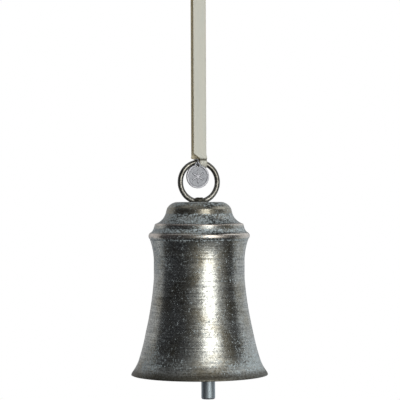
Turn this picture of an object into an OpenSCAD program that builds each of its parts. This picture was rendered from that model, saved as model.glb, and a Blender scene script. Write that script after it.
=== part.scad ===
// Small hanging bell ornament: a turned bell with a brazed ring, a rod clapper, a charm and a ribbon.
// The origin is the inside of the ribbon's top bend, where a hook or a twig carries the ornament.
// X runs along the ring's plane, -Y is the front and +Z is up. Lengths are in millimetres.

/* [Bell] */
// Height of the shell, from the rim to the flat of the crown
bell_h = 81.8; // [79:0.1:90]
// Outer diameter at the rim
rim_d = 65; // [62:0.5:70]
// Outer diameter at the waist
waist_d = 43.2; // [42:0.1:45]
// Outer diameter at the shoulder, the widest step under the crown
shoulder_d = 48.2; // [47:0.1:50]
// Wall thickness of the shell
wall = 1.6; // [1.2:0.1:2]
// Thickness of the crown's flat top
crown_t = 2.2; // [1.8:0.1:2.6]

/* [Ring] */
// Outer diameter of the hanging ring
ring_d = 21.2; // [20.8:0.1:24]
// Diameter of the ring's wire
ring_wire = 2.6; // [2.4:0.1:2.8]
// Depth to which the ring is let into the crown
ring_seat = 0.9; // [0.3:0.1:1]

/* [Clapper] */
// Diameter of the clapper rod
rod_d = 6.6; // [5:0.1:8]
// Length of the clapper rod
rod_len = 73; // [60:0.5:78]
// Diameter of the hook's wire
hook_wire = 1.6; // [1.4:0.1:1.8]
// Bend radius of the hook, to the middle of its wire
hook_r = 4.3; // [4:0.1:4.8]
// Outer diameter of the link between the hook and the eye
link_d = 9; // [8.6:0.1:10]
// Diameter of the link's and the eye's wire
link_wire = 1.2; // [1:0.1:1.3]

/* [Charm] */
// Diameter of the charm
charm_d = 11.2; // [9:0.1:11.4]
// Thickness of the charm's plate
charm_t = 0.85; // [0.7:0.05:1]
// Height of the charm's raised edge and star
charm_relief = 0.3; // [0.2:0.05:0.35]
// Diameter of the jump ring's wire
jump_wire = 0.55; // [0.45:0.05:0.6]

/* [Ribbon] */
// Width of the ribbon
ribbon_w = 6.35; // [5.5:0.05:7]
// Thickness of the ribbon
ribbon_t = 0.4; // [0.3:0.05:0.45]
// Distance from the loop's inner top down to the middle of the ring's wire
hang_drop = 92; // [70:1:140]
// Distance between the middles of the two strands
strand_gap = 3.3; // [2.8:0.1:3.6]
// Width of the ribbon where it is bunched around the ring
fold_w = 3.4; // [3:0.1:3.6]
// Length of the sewn lap at the back of the loop's top
lap_len = 8.5; // [7:0.5:12]

/* [Hidden] */
$fn = 48;

play = 0.1;          // running play between pieces that hang on one another
fit = 0.02;          // gap at pressed and brazed faces
bite = 0.01;         // overlap that joins the primitives of one solid

// Heights, from the loop's inner top downwards
ring_r = (ring_d - ring_wire) / 2;
ring_z = -hang_drop - ring_r;
crown_z = ring_z - ring_d / 2 + ring_seat;
under_z = crown_z - crown_t;
rim_z = crown_z - bell_h;

// Clapper chain
boss_d = 7;
boss_h = 3;
boss_z = under_z - boss_h;
hook_neck = 1.1;     // straight wire between the boss and the bend
hook_bore = boss_h + 0.6;    // the bore runs on into the crown
hook_z = boss_z - hook_neck;
hook_open = 20;      // angle above level at which the hook's tip ends
trough_z = hook_z - hook_r;
link_r = (link_d - link_wire) / 2;
link_z = trough_z + (hook_wire + link_wire) / 2 + play - link_r;
link_low_z = link_z - link_r;
eye_r = 2.2;
eye_z = link_low_z + link_wire + play - eye_r;
eye_shank = 6;
rod_top_z = eye_z - eye_r - link_wire / 2 - play;
rod_chamfer = 0.4;

// Brazed joint between the ring and the crown
braze_r = 3.1;       // radius of the lump at the height of the ring's wire
braze_foot = 4.3;    // radius of the fillet on the crown
braze_h = 2.1;

// Charm, in a frame whose origin is the middle of the ring's wire
charm_x = -1.6;
charm_axis_z = ring_z + sqrt(ring_r * ring_r - charm_x * charm_x);
charm_back = 2.3;                   // in front of the ring's wire and clear of the ribbon's fold
charm_drop = 1 + charm_d / 2;       // from the wire's middle down to the disc's middle
charm_edge = 0.9;                   // width of the raised edge
star_arm = 3.1;
star_w = 0.7;

// Jump ring, a close loop of two bends that holds the charm's ear to the ring's wire
jump_r = ring_wire / 2 + play + jump_wire / 2;
jump_reach = charm_back + charm_t + play - ring_wire / 2;    // from the wire's middle to the front bend's
ear_shift = 0.05;    // from the middle of the plate to the edge that hangs on the loop
ear_lift = 0.1;      // room under the jump ring's wire in the ear's hole
ear_pin_y = jump_reach - charm_back - charm_t / 2 - ear_shift;    // where the loop crosses the ear
ear_z = ear_lift - sqrt(jump_r * jump_r - ear_pin_y * ear_pin_y);
ear_hole_d = 1.6;
ear_r = 1.6;

// Ribbon
fold_x = 1.7;        // the fold lies beside the charm
fold_play = 0.5;     // room in the fold for the ring's curved wire
fold_drop = 0.32;    // the ring's wire slopes down across the fold by this much more than its play
fold_z = -hang_drop - fold_drop;
fold_r = ring_wire / 2 + fold_play + ribbon_t / 2;
neck_z = fold_z + 3.1;      // the ribbon is bunched up to here
spread_z = fold_z + 4.2;    // and lies flat from here up
neck_y = (fold_r + strand_gap / 2) / 2;
strand_steps = 8;
top_r = strand_gap / 2;
top_z = ribbon_t / 2 - top_r;
lap_top_z = -4;
lap_z = lap_top_z - lap_len;
lap_edge = 0.5;      // length over which the lap reaches its double thickness
thread_d = 0.3;
stitch_len = 0.7;
stitch_pitch = 1.1;
stitch_inset = 1.5;  // from the lap's ends to the rows of stitches

// Points of an arc from a to b, without a. A positive sag bulges to the left of the way from a to b.
function arc(a, b, sag, n) =
    let (chord = b - a, len = norm(chord), left = [-chord[1], chord[0]] / len)
    let (r = (len * len / 4 + sag * sag) / (2 * sag), centre = (a + b) / 2 + left * (sag - r))
    let (half = asin(len / (2 * abs(r))))
    [for (i = [1:n]) let (t = half * (2 * i / n - 1))
        centre + left * r * cos(t) + chord / len * abs(r) * sin(t)];

// Outside of the bell, from the crown down to the rim, as radius and height
rim_r = rim_d / 2;
waist_r = waist_d / 2;
shoulder_r = shoulder_d / 2;
crown_flat = [8.6, crown_z];
crown_edge = [shoulder_r - 8.8, crown_z - 3];
crown_foot = [shoulder_r - 8.1, crown_z - 5.6];
cove_end = [shoulder_r - 3.4, crown_z - 10.1];
step_top = [shoulder_r - 2.95, crown_z - 10.7];
step_foot = [shoulder_r - 2.4, crown_z - 12.5];
ledge_end = [shoulder_r - 0.8, crown_z - 14.4];
bead_mid = [shoulder_r, crown_z - 16];
bead_foot = [shoulder_r - 0.6, crown_z - 17.4];
waist_top = [waist_r, crown_z - 27.3];
waist_foot = [waist_r, rim_z + 46];
flare_mid = [waist_r + 0.35 * (rim_r - waist_r), rim_z + 20.7];
flare_low = [rim_r - 3.4, rim_z + 6.4];
lip = [rim_r - 0.5, rim_z + 1.2];
rim_edge = [rim_r, rim_z];

outside = concat(
    [[0, crown_z], crown_flat],
    arc(crown_flat, crown_edge, 1.3, 8),
    [crown_foot],
    arc(crown_foot, cove_end, -0.75, 8),
    arc(cove_end, step_top, 0.12, 3),
    [step_foot],
    arc(step_foot, ledge_end, -0.25, 4),
    arc(ledge_end, bead_mid, 0.25, 4),
    arc(bead_mid, bead_foot, 0.16, 4),
    arc(bead_foot, waist_top, -0.4, 8),
    [waist_foot],
    arc(waist_foot, flare_mid, -0.52, 10),
    arc(flare_mid, flare_low, -0.24, 6),
    arc(flare_low, lip, -0.2, 5),
    arc(lip, rim_edge, 0.1, 2));

// Inside of the bell, from the rim up to the crown. It follows the outside a wall's thickness further in,
// thicker where the outside steps.
in_rim = rim_edge - [wall - 0.3, 0];
in_low = flare_low + [-wall, 0.2];
in_mid = flare_mid - [wall, 0];
in_waist_foot = waist_foot - [wall, 0];
in_waist_top = waist_top - [wall, 0];
in_bead = bead_foot + [-wall - 0.3, -1];
in_ledge = step_foot + [-wall - 0.2, -3.5];
in_cove = cove_end + [-wall - 0.4, -2.1];
in_foot = crown_foot + [-wall, -1];
in_edge = [crown_edge[0] - wall, under_z - 1.9];
in_flat = [crown_flat[0], under_z];

inside = concat(
    [in_rim],
    arc(in_rim, in_low, 0.3, 6),
    arc(in_low, in_mid, 0.24, 6),
    arc(in_mid, in_waist_foot, 0.52, 10),
    [in_waist_top],
    arc(in_waist_top, in_bead, 0.4, 8),
    arc(in_bead, in_ledge, -0.3, 4),
    arc(in_ledge, in_cove, -0.3, 4),
    arc(in_cove, in_foot, 0.75, 8),
    [in_edge],
    arc(in_edge, in_flat, -0.6, 6),
    [[0, under_z]]);

// Round wire bent to a full ring in the XZ plane
module wire_ring(bend_r, wire_d) {
    rotate([90, 0, 0])
        rotate_extrude()
            translate([bend_r, 0]) circle(d = wire_d);
}

// Round wire bent to a half ring in the XY plane, on its +Y side
module half_ring(bend_r, wire_d) {
    rotate_extrude(angle = 180)
        translate([bend_r, 0]) circle(d = wire_d);
}

// One quad of a swept band as two triangles, between corner k of ring i and of ring j
function quad(i, j, k) =
    let (a = 4 * i + k, b = 4 * i + (k + 1) % 4, c = 4 * j + (k + 1) % 4, d = 4 * j + k)
    [[a, b, c], [a, c, d]];

// Corners of the ribbon's section at one station: [x, y, z, angle, width, thickness in, thickness out].
// The angle turns the outward side from +Y towards +Z.
function section(s) =
    let (out = [0, cos(s[3]), sin(s[3])], side = [s[4] / 2, 0, 0], mid = [s[0], s[1], s[2]])
    [mid - side - out * s[5], mid + side - out * s[5], mid + side + out * s[6], mid - side + out * s[6]];

module bell_shell() {
    color([0.44, 0.43, 0.40])
    difference() {
        union() {
            rotate_extrude($fn = 96) polygon(concat(outside, inside));
            translate([0, 0, boss_z]) cylinder(d = boss_d, h = boss_h + bite);
        }
        // Blind bore for the hook's shank
        translate([0, 0, boss_z - 1]) cylinder(d = hook_wire + 2 * fit, h = hook_bore + 1);
        // Seat of the ring
        translate([0, 0, ring_z]) wire_ring(ring_r, ring_wire + 2 * fit);
    }
}

module hanging_ring() {
    color([0.36, 0.35, 0.31])
    translate([0, 0, ring_z]) wire_ring(ring_r, ring_wire);
}

module crown_braze() {
    foot = [braze_foot, crown_z + fit];
    neck = [braze_r, crown_z + 0.9];
    brow = [braze_r - 0.15, crown_z + 1.5];
    top = [braze_r - 1, crown_z + braze_h];
    color([0.30, 0.29, 0.25])
    difference() {
        rotate_extrude()
            polygon(concat([[0, crown_z + fit], foot], arc(foot, neck, 0.3, 5),
                [brow], arc(brow, top, -0.2, 4), [[0, top[1]]]));
        translate([0, 0, ring_z]) wire_ring(ring_r, ring_wire + 2 * fit);
    }
}

module clapper_hook() {
    color([0.45, 0.46, 0.47]) {
        // Shank, pressed into the boss
        translate([0, 0, hook_z]) cylinder(d = hook_wire, h = hook_neck + hook_bore - fit);
        // Bend, open on the far side
        translate([hook_r, 0, hook_z])
            rotate([90, 0, 0])
                rotate([0, 0, 180])
                    rotate_extrude(angle = 180 + hook_open)
                        translate([hook_r, 0]) circle(d = hook_wire);
    }
}

module clapper_link() {
    color([0.55, 0.56, 0.58])
    translate([hook_r, 0, link_z])
        rotate([0, 0, 90]) wire_ring(link_r, link_wire);
}

module clapper_eye() {
    color([0.55, 0.56, 0.58])
    translate([hook_r, 0, eye_z]) {
        wire_ring(eye_r, link_wire);
        translate([0, 0, -eye_r - play - eye_shank]) cylinder(d = link_wire, h = eye_shank + play);
    }
}

module clapper_rod() {
    r = rod_d / 2;
    color([0.44, 0.49, 0.52])
    translate([hook_r, 0, rod_top_z - rod_len])
    difference() {
        rotate_extrude()
            polygon([[0, 0], [r - rod_chamfer, 0], [r, rod_chamfer], [r, rod_len - rod_chamfer],
                [r - rod_chamfer, rod_len], [0, rod_len]]);
        translate([0, 0, rod_len - eye_shank]) cylinder(d = link_wire + 2 * fit, h = eye_shank + 1);
    }
}

// Places the charm's own frame, whose origin is the middle of the ring's wire
module on_ring_wire() {
    translate([charm_x, 0, charm_axis_z]) children();
}

module charm_jump_ring() {
    color([0.70, 0.70, 0.72])
    on_ring_wire()
        rotate([90, 0, 90]) {
            // Bend behind the ring's wire
            rotate([0, 0, -90]) half_ring(jump_r, jump_wire);
            // Bend in front of the charm's ear
            translate([-jump_reach, 0, 0]) rotate([0, 0, 90]) half_ring(jump_r, jump_wire);
            for (side = [-1, 1])
                translate([-jump_reach, side * jump_r, 0])
                    rotate([0, 90, 0]) cylinder(d = jump_wire, h = jump_reach);
        }
}

module charm_disc() {
    color([0.66, 0.66, 0.70])
    on_ring_wire()
        translate([0, -charm_back, 0]) rotate([90, 0, 0])
            difference() {
                union() {
                    translate([0, -charm_drop, 0]) cylinder(d = charm_d, h = charm_t);
                    translate([0, ear_z, 0]) cylinder(r = ear_r, h = charm_t);
                    // Raised edge
                    translate([0, -charm_drop, charm_t - bite])
                        difference() {
                            cylinder(d = charm_d, h = charm_relief + bite);
                            translate([0, 0, -1]) cylinder(d = charm_d - 2 * charm_edge, h = charm_relief + 2);
                            // Left flat under the jump ring
                            translate([0, charm_drop + ear_z, -1]) cylinder(r = ear_r, h = charm_relief + 2);
                        }
                    // Raised star
                    for (turn = [0:60:300])
                        translate([0, -charm_drop, charm_t - bite])
                            rotate([0, 0, turn])
                                translate([-star_w / 2, 0, 0]) cube([star_w, star_arm, charm_relief + bite]);
                }
                translate([0, ear_z, -1]) cylinder(d = ear_hole_d, h = charm_t + 2);
            }
}

// Stations of the loop, going under the ring, up the back strand, over the top and down the front strand
function station(x, y, z, angle, width, doubled = false) =
    [x, y, z, angle, width, ribbon_t / 2, ribbon_t / 2 + (doubled ? ribbon_t : 0)];
function bend(x, r, z, from, to, width) =
    [for (a = [from:15:to]) station(x, r * cos(a), z + r * sin(a), a, width)];
function strand(y, angle, from, to) =
    [for (i = [0:strand_steps]) station(0, y, from + (to - from) * i / strand_steps, angle, ribbon_w)];
function lap(y) =
    [for (z = [lap_z + lap_edge, lap_top_z - lap_edge]) station(0, y, z, 0, ribbon_w, true)];

module ribbon_loop() {
    stations = concat(
        bend(fold_x, fold_r, fold_z, 180, 360, fold_w),
        [station(fold_x, neck_y, neck_z, 0, fold_w)],
        strand(top_r, 0, spread_z, lap_z),
        lap(top_r),
        [station(0, top_r, lap_top_z, 0, ribbon_w)],
        bend(0, top_r, top_z, 0, 180, ribbon_w),
        strand(-top_r, 180, lap_z, spread_z),
        [station(fold_x, -neck_y, neck_z, 180, fold_w)]);
    count = len(stations);
    color([0.80, 0.79, 0.74])
    polyhedron(
        points = [for (s = stations) each section(s)],
        faces = [for (i = [0:count - 1]) each [for (k = [0:3]) each quad(i, (i + 1) % count, k)]]);
}

module ribbon_stitches() {
    color([0.72, 0.69, 0.60])
    for (row_z = [lap_top_z - stitch_inset, lap_z + stitch_inset])
        for (i = [-2:2])
            translate([i * stitch_pitch - stitch_len / 2, top_r + 1.5 * ribbon_t + thread_d / 2, row_z])
                rotate([0, 90, 0]) cylinder(d = thread_d, h = stitch_len, $fn = 16);
}

bell_shell();
hanging_ring();
crown_braze();
clapper_hook();
clapper_link();
clapper_eye();
clapper_rod();
charm_jump_ring();
charm_disc();
ribbon_loop();
ribbon_stitches();
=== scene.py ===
import math

import bmesh
import bpy
from mathutils import Euler, Matrix, Vector, noise


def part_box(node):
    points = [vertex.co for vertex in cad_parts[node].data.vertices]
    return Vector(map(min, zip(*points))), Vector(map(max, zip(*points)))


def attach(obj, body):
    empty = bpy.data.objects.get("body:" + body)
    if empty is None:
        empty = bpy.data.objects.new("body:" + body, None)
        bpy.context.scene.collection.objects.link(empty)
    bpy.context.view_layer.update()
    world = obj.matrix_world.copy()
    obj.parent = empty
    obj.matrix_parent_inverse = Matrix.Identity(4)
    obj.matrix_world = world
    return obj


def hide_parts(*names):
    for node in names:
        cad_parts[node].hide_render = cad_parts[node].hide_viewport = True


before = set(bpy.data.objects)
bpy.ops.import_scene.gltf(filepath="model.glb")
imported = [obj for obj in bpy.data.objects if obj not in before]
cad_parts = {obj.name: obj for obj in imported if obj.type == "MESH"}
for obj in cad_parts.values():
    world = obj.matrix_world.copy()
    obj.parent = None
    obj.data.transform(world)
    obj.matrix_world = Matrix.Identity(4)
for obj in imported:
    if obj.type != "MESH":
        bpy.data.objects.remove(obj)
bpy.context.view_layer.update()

MM = 0.001
TAU = 2 * math.pi
X_WAY, Y_WAY, Z_WAY = Vector((1, 0, 0)), Vector((0, 1, 0)), Vector((0, 0, 1))
CAP_ANGLES = [math.radians(a) for a in (15, 40, 65, 85)]  # rings of a wire's rounded end
CAP_RISE = 0.5  # how far such an end stands out, in wire radii

# ---- small helpers


def smooth(t):
    """0 below 0, 1 above 1 and a smooth step between."""
    t = max(0.0, min(1.0, t))
    return t * t * (3 - 2 * t)


def between(a, b, t):
    return a + (b - a) * t


def rough(point, size, seed):
    """Noise from about -1 to 1 whose lumps are size metres across."""
    return noise.noise(Vector(point) / size + Vector((seed, 2.3 * seed, -1.7 * seed)))


class Box:
    """Lowest and highest corner, middle and size of a CAD node."""

    def __init__(self, name):
        self.low, self.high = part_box(name)
        self.middle = (self.low + self.high) / 2
        self.size = self.high - self.low


def finish_piece(obj, body, slot, material, *replaced):
    """Gives a new piece its material and body, and hides the CAD nodes that it stands for. The slot argument
    is not used.
    """
    obj.data.materials.append(material)
    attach(obj, body)
    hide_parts(*replaced)
    return obj


def mesh_piece(name, points, faces):
    """A smooth shaded mesh object, with its faces turned outwards."""
    mesh = bpy.data.meshes.new(name)
    mesh.from_pydata(points, [], faces)
    build = bmesh.new()
    build.from_mesh(mesh)
    bmesh.ops.recalc_face_normals(build, faces=build.faces)
    build.to_mesh(mesh)
    build.free()
    mesh.polygons.foreach_set("use_smooth", [True] * len(mesh.polygons))
    obj = bpy.data.objects.new(name, mesh)
    bpy.context.scene.collection.objects.link(obj)
    return obj


def paint(obj, name, values):
    """One number for each vertex, which the material reads by name."""
    layer = obj.data.attributes.new(name, "FLOAT", "POINT")
    layer.data.foreach_set("value", values)


def grid_faces(rows, columns, wrap, first=0):
    """Quads between the points of a grid. wrap closes each row to a ring."""
    last = columns if wrap else columns - 1
    return [(first + i * columns + j, first + i * columns + (j + 1) % columns,
             first + (i + 1) * columns + (j + 1) % columns, first + (i + 1) * columns + j)
            for i in range(rows - 1) for j in range(last)]


def lathe_mesh(outline, sides, centre, shape):
    """Points and faces of an outline of (radius, height) turned about the vertical line through centre.
    It starts and ends on the axis. shape(angle, row, radius, height) returns the moved radius and height."""
    points = [(centre.x, centre.y, outline[0][1])]
    for row, (radius, height) in enumerate(outline[1:-1]):
        for side in range(sides):
            angle = TAU * side / sides
            r, z = shape(angle, row, radius, height)
            points.append((centre.x + r * math.cos(angle), centre.y + r * math.sin(angle), z))
    points.append((centre.x, centre.y, outline[-1][1]))
    faces = grid_faces(len(outline) - 2, sides, True, 1)
    last = len(points) - 1
    faces += [(0, 1 + (j + 1) % sides, 1 + j) for j in range(sides)]
    faces += [(last, last - sides + j, last - sides + (j + 1) % sides) for j in range(sides)]
    return points, faces


def tube_mesh(line, radius, sides, first=0):
    """Points and faces of a round wire along line, with its ends rounded over."""
    last = len(line) - 1
    ways = [(line[min(i + 1, last)] - line[max(i - 1, 0)]).normalized() for i in range(last + 1)]
    across = ways[0].orthogonal().normalized()
    rings = []
    for spot, way in zip(line, ways):
        across = (across - way * across.dot(way)).normalized()
        rings.append((spot, across, way.cross(across), radius))

    def cap(end, way):
        """Rings of a low dome past one end of the wire, from the wire outwards."""
        spot, side, up, size = end
        return [(spot + way * size * CAP_RISE * math.sin(a), side, up, size * math.cos(a))
                for a in CAP_ANGLES]

    rings = cap(rings[0], -ways[0])[::-1] + rings + cap(rings[-1], ways[-1])
    points = [p + (u * math.cos(TAU * j / sides) + v * math.sin(TAU * j / sides)) * r
              for p, u, v, r in rings for j in range(sides)]
    faces = grid_faces(len(rings), sides, True, first)
    faces.append(tuple(first + j for j in range(sides)))
    faces.append(tuple(first + len(points) - 1 - j for j in range(sides)))
    return points, faces


def tube_piece(name, line, radius, sides):
    return mesh_piece(name, *tube_mesh(line, radius, sides))


# ---- camera, at the photograph's angle

VIEW_TURN = math.radians(19.4)  # the camera stands this far round from the front, towards -X
CAMERA_DISTANCE = 0.769
CAMERA_HEIGHT = -0.1099
CAMERA_LENS = 145.4
CAMERA_ROLL = math.radians(-0.23)
BELL_OFF_CENTRE = 0.0005  # the bell hangs a little left of the picture's middle
TO_CAMERA = Vector((-math.sin(VIEW_TURN), -math.cos(VIEW_TURN), 0))
TO_RIGHT = Vector((math.cos(VIEW_TURN), -math.sin(VIEW_TURN), 0))


def make_camera():
    """The photograph's camera, which is level and rolled a little."""
    data = bpy.data.cameras.new("camera")
    data.lens = CAMERA_LENS
    data.sensor_width = 36
    data.clip_start = 0.05
    data.clip_end = 20
    camera = bpy.data.objects.new("camera", data)
    place = TO_CAMERA * CAMERA_DISTANCE + TO_RIGHT * BELL_OFF_CENTRE + Vector((0, 0, CAMERA_HEIGHT))
    turn = Euler((math.pi / 2, 0, -VIEW_TURN)).to_matrix().to_4x4()
    camera.matrix_world = Matrix.Translation(place) @ turn @ Matrix.Rotation(CAMERA_ROLL, 4, "Z")
    bpy.context.scene.collection.objects.link(camera)
    bpy.context.scene.camera = camera


# ---- materials


RIM_DULL = 14  # the metal is duller up to this many millimetres above the rim
GOLD_REACH, GOLD_FULL = 11, 5  # the crown's golden tint starts and is full this far below its top, in mm
# Patches of bloom on the bell: middle and radius in millimetres, and strength
BLOOM_PATCHES = (((22, -20, -186), 17, 1.0), ((-27, -8, -186), 12, 0.7), ((-21, 0, -136), 15, 0.8),
                 ((6, -26, -190), 10, 0.6), ((0, 24, -160), 24, 0.5), ((17, -1, -110), 7, 0.7),
                 ((-16, -5, -110), 7, 0.8), ((22, -5, -131), 9, 0.6), ((-20, -9, -112), 6, 0.8),
                 ((-6, -20, -124), 8, 0.5), ((22, -9, -112), 8, 0.8), ((26, -8, -173), 10, 0.8))

BELL_DARK, BELL_BRIGHT = (0.115, 0.117, 0.119), (0.64, 0.645, 0.60)
GOLD_DARK, GOLD_BRIGHT = (0.13, 0.112, 0.072), (0.32, 0.275, 0.185)
# Darker metal in the steps: a dark patina and painted shade
STEP_PATINA_AND_SHADE = (0.11, 0.108, 0.10)
# Bright colour of the worn convex edges: wear, and a painted highlight along them
WORN_EDGE_HIGHLIGHT = (0.80, 0.70, 0.62)
PIT = (0.055, 0.050, 0.042)
RIM_METAL = (0.098, 0.090, 0.071)
PALE_BLOOM = (0.58, 0.665, 0.695)
BELL_INSIDE = (0.16, 0.14, 0.11)
RING_DARK, RING_BRIGHT, RING_BLOOM = (0.075, 0.070, 0.057), (0.29, 0.28, 0.25), (0.40, 0.40, 0.38)
BRAZE_DARK, BRAZE_BRIGHT = (0.045, 0.043, 0.033), (0.20, 0.19, 0.155)
WIRE_DARK, WIRE_BRIGHT, WIRE_STAIN = (0.36, 0.37, 0.385), (0.56, 0.565, 0.58), (0.25, 0.19, 0.12)
ROD_DARK, ROD_BRIGHT = (0.35, 0.41, 0.445), (0.52, 0.58, 0.62)
ROD_STAIN, ROD_END = (0.20, 0.22, 0.235), (0.12, 0.135, 0.15)
CHARM_DARK, CHARM_BRIGHT, CHARM_RECESS = (0.30, 0.302, 0.33), (0.37, 0.372, 0.398), (0.155, 0.165, 0.176)
FACE_COOL, FACE_WARM = (0.72, 0.74, 0.67), (0.775, 0.765, 0.675)
BACK_DARK, BACK_BRIGHT = (0.88, 0.78, 0.53), (0.95, 0.86, 0.62)
SLUB, SELVEDGE = (0.84, 0.81, 0.72), (0.56, 0.50, 0.38)
# Painted shadow under the pinch, and painted shade between the ribbon's threads
CREASE_SHADE, THREAD_GAP_SHADE = (0.085, 0.078, 0.055), (0.40, 0.37, 0.30)
# Painted shade and painted light on the sewing thread's twist
THREAD_SHADED, THREAD_LIT = (0.50, 0.455, 0.35), (0.70, 0.66, 0.55)
WARP_PITCH, WEFT_PITCH, TWIST_PITCH = 0.16, 0.30, 0.16  # in millimetres


class Nodes:
    """A node tree under construction. Its methods add nodes and return their output sockets."""

    def __init__(self, owner):
        owner.use_nodes = True
        self.tree = owner.node_tree

    def add(self, kind, out=0, inputs=None, **settings):
        node = self.tree.nodes.new("ShaderNode" + kind)
        for name, value in settings.items():
            setattr(node, name, value)
        for name, value in (inputs or {}).items():
            self.put(node.inputs[name], value)
        return node.outputs[out]

    def put(self, socket, value):
        if isinstance(value, bpy.types.NodeSocket):
            self.tree.links.new(value, socket)
        elif socket.type == "RGBA" and len(value) == 3:
            socket.default_value = (*value, 1)
        else:
            socket.default_value = value

    def math(self, operation, a, b=0.0):
        return self.add("Math", inputs={0: a, 1: b}, operation=operation)

    def plus(self, a, b):
        return self.math("ADD", a, b)

    def times(self, a, b):
        return self.math("MULTIPLY", a, b)

    def mix(self, share, a, b):
        node = self.tree.nodes.new("ShaderNodeMix")
        node.data_type = "RGBA"
        for index, value in ((0, share), (6, a), (7, b)):
            self.put(node.inputs[index], value)
        return node.outputs[2]


class Look(Nodes):
    """A material under construction."""

    def __init__(self, name):
        self.material = bpy.data.materials.new(name)
        super().__init__(self.material)

    def place(self, scale=(1, 1, 1), shift=(0, 0, 0)):
        """Object coordinates in millimetres, stretched by scale."""
        coords = self.add("TexCoord", "Object")
        in_mm = tuple(s / MM for s in scale)
        return self.add("Mapping", inputs={"Vector": coords, "Scale": in_mm, "Location": shift})

    def height(self):
        return self.add("SeparateXYZ", "Z", inputs={"Vector": self.place()})

    def noise(self, vector, scale=1.0, detail=4.0, roughness=0.55):
        return self.add("TexNoise", inputs={"Vector": vector, "Scale": scale, "Detail": detail,
                                            "Roughness": roughness})

    def ramp(self, value, low, high, to_low=0.0, to_high=1.0):
        """value from low to high becomes to_low to to_high, and stays inside them."""
        return self.add("MapRange", inputs={"Value": value, "From Min": low, "From Max": high,
                                            "To Min": to_low, "To Max": to_high})

    def attribute(self, name):
        return self.add("Attribute", "Fac", attribute_name=name)

    def bump(self, height, distance, strength):
        return self.add("Bump", inputs={"Height": height, "Distance": distance, "Strength": strength})

    def set(self, **values):
        """Puts each value or socket on the shader's input of that name, and returns the material."""
        shader = self.tree.nodes["Principled BSDF"]
        for name, value in values.items():
            self.put(shader.inputs[name.replace("_", " ")], value)
        return self.material


def bare_metal(look, grain, lines, gold, hollow):
    """Colour of the bell's bare metal: tool lines, brown clouds, worn edges with a painted highlight along
    them, dark patina with painted shade in the steps, and dark pits.
    """
    clouds = look.noise(look.place(shift=(31, 7, 3)), 0.10, detail=5, roughness=0.6)
    tone = look.ramp(look.plus(grain, look.times(lines, 0.6)), 0.64, 0.96)
    brown = look.ramp(clouds, 0.45, 0.66, 0.0, 0.65)
    metal = look.mix(tone, BELL_DARK, BELL_BRIGHT)
    metal = look.mix(look.math("MAXIMUM", brown, gold), metal, look.mix(tone, GOLD_DARK, GOLD_BRIGHT))
    # Dark patina and painted shade in the steps, which dims their highlight
    metal = look.mix(look.times(hollow, 0.55), metal, STEP_PATINA_AND_SHADE)
    # Wear and a painted highlight along the convex edges
    rubbed_and_lit = look.times(look.attribute("worn"), look.ramp(clouds, 0.42, 0.60, 0.9, 0.35))
    metal = look.mix(rubbed_and_lit, metal, WORN_EDGE_HIGHLIGHT)
    pits = look.ramp(grain, 0.43, 0.36)
    return look.mix(look.times(pits, 0.85), metal, PIT)


def bloom_grit(look, bloom, hollow, top_edge):
    """Where the pale bloom lies: thick in the steps, on the crown's edge and on a few patches, and as lone
    specks everywhere else."""
    patches = 0.0
    for spot, radius, strength in BLOOM_PATCHES:
        away = look.add("VectorMath", "Value", inputs={0: look.place(), 1: spot}, operation="DISTANCE")
        patches = look.math("MAXIMUM", patches, look.ramp(away, 0.25 * radius, radius, strength, 0.0))
    cover = look.plus(look.ramp(bloom, 0.50, 0.72, 0.0, 0.75), look.times(hollow, 0.8))
    cover = look.math("MINIMUM", look.plus(look.plus(cover, patches), top_edge), 1.0)
    specks = look.noise(look.place(shift=(5, 1, 9)), 1.3, detail=7, roughness=0.8)
    start = look.ramp(cover, 0.0, 1.0, 0.585, 0.46)
    full = look.ramp(cover, 0.0, 1.0, 0.625, 0.52)
    return look.ramp(specks, start, full)


def bell_look(crown_z, rim_z):
    """Turned metal, darkened, with tool lines, pits, brown tints, a pale bloom in the steps, painted shade in
    the steps and a painted highlight on the worn edges.
    """
    look = Look("bell_metal")
    crown, rim = crown_z / MM, rim_z / MM
    lines = look.noise(look.place((0.05, 0.05, 2.2)), detail=5, roughness=0.6)
    grain = look.noise(look.place(), 0.95, detail=7, roughness=0.86)
    bloom = look.noise(look.place((1, 1, 1.3), (3, 40, 11)), 0.16, detail=9, roughness=0.74)
    hollow = look.attribute("hollow")
    height = look.height()
    gold = look.ramp(height, crown - GOLD_REACH, crown - GOLD_FULL, 0.0, 0.62)
    metal = bare_metal(look, grain, lines, gold, hollow)

    above_rim = look.math("SUBTRACT", height, rim)
    rim_edge = look.plus(above_rim, look.times(bloom, 3.0))
    at_rim = look.ramp(rim_edge, 3.2, 5.4, 1.0, 0.0)
    rim_share = look.times(at_rim, look.ramp(grain, 0.35, 0.65, 0.97, 0.72))
    metal = look.mix(rim_share, metal, RIM_METAL)

    top_edge = look.ramp(height, crown - 2.6, crown - 0.8, 0.0, 0.75)
    grit = bloom_grit(look, bloom, hollow, top_edge)
    pale = look.times(grit, look.ramp(at_rim, 0.0, 1.0, 0.9, 0.15))
    colour = look.mix(pale, metal, PALE_BLOOM)
    colour = look.mix(look.times(look.attribute("inside"), 0.6), colour, BELL_INSIDE)

    gloss = look.ramp(grain, 0.3, 0.7, 0.33, 0.19)
    gloss = look.plus(gloss, look.times(pale, 0.4))
    gloss = look.plus(gloss, look.ramp(above_rim, 0.0, RIM_DULL, 0.26, 0.0))
    gloss = look.plus(gloss, look.times(gold, 0.05))
    relief = look.plus(look.times(lines, 0.8), look.times(grain, 0.75))
    return look.set(Base_Color=colour, Metallic=look.ramp(pale, 0.0, 1.0, 1.0, 0.2), Roughness=gloss,
                    Normal=look.bump(relief, 0.055 * MM, 0.9))


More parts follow.
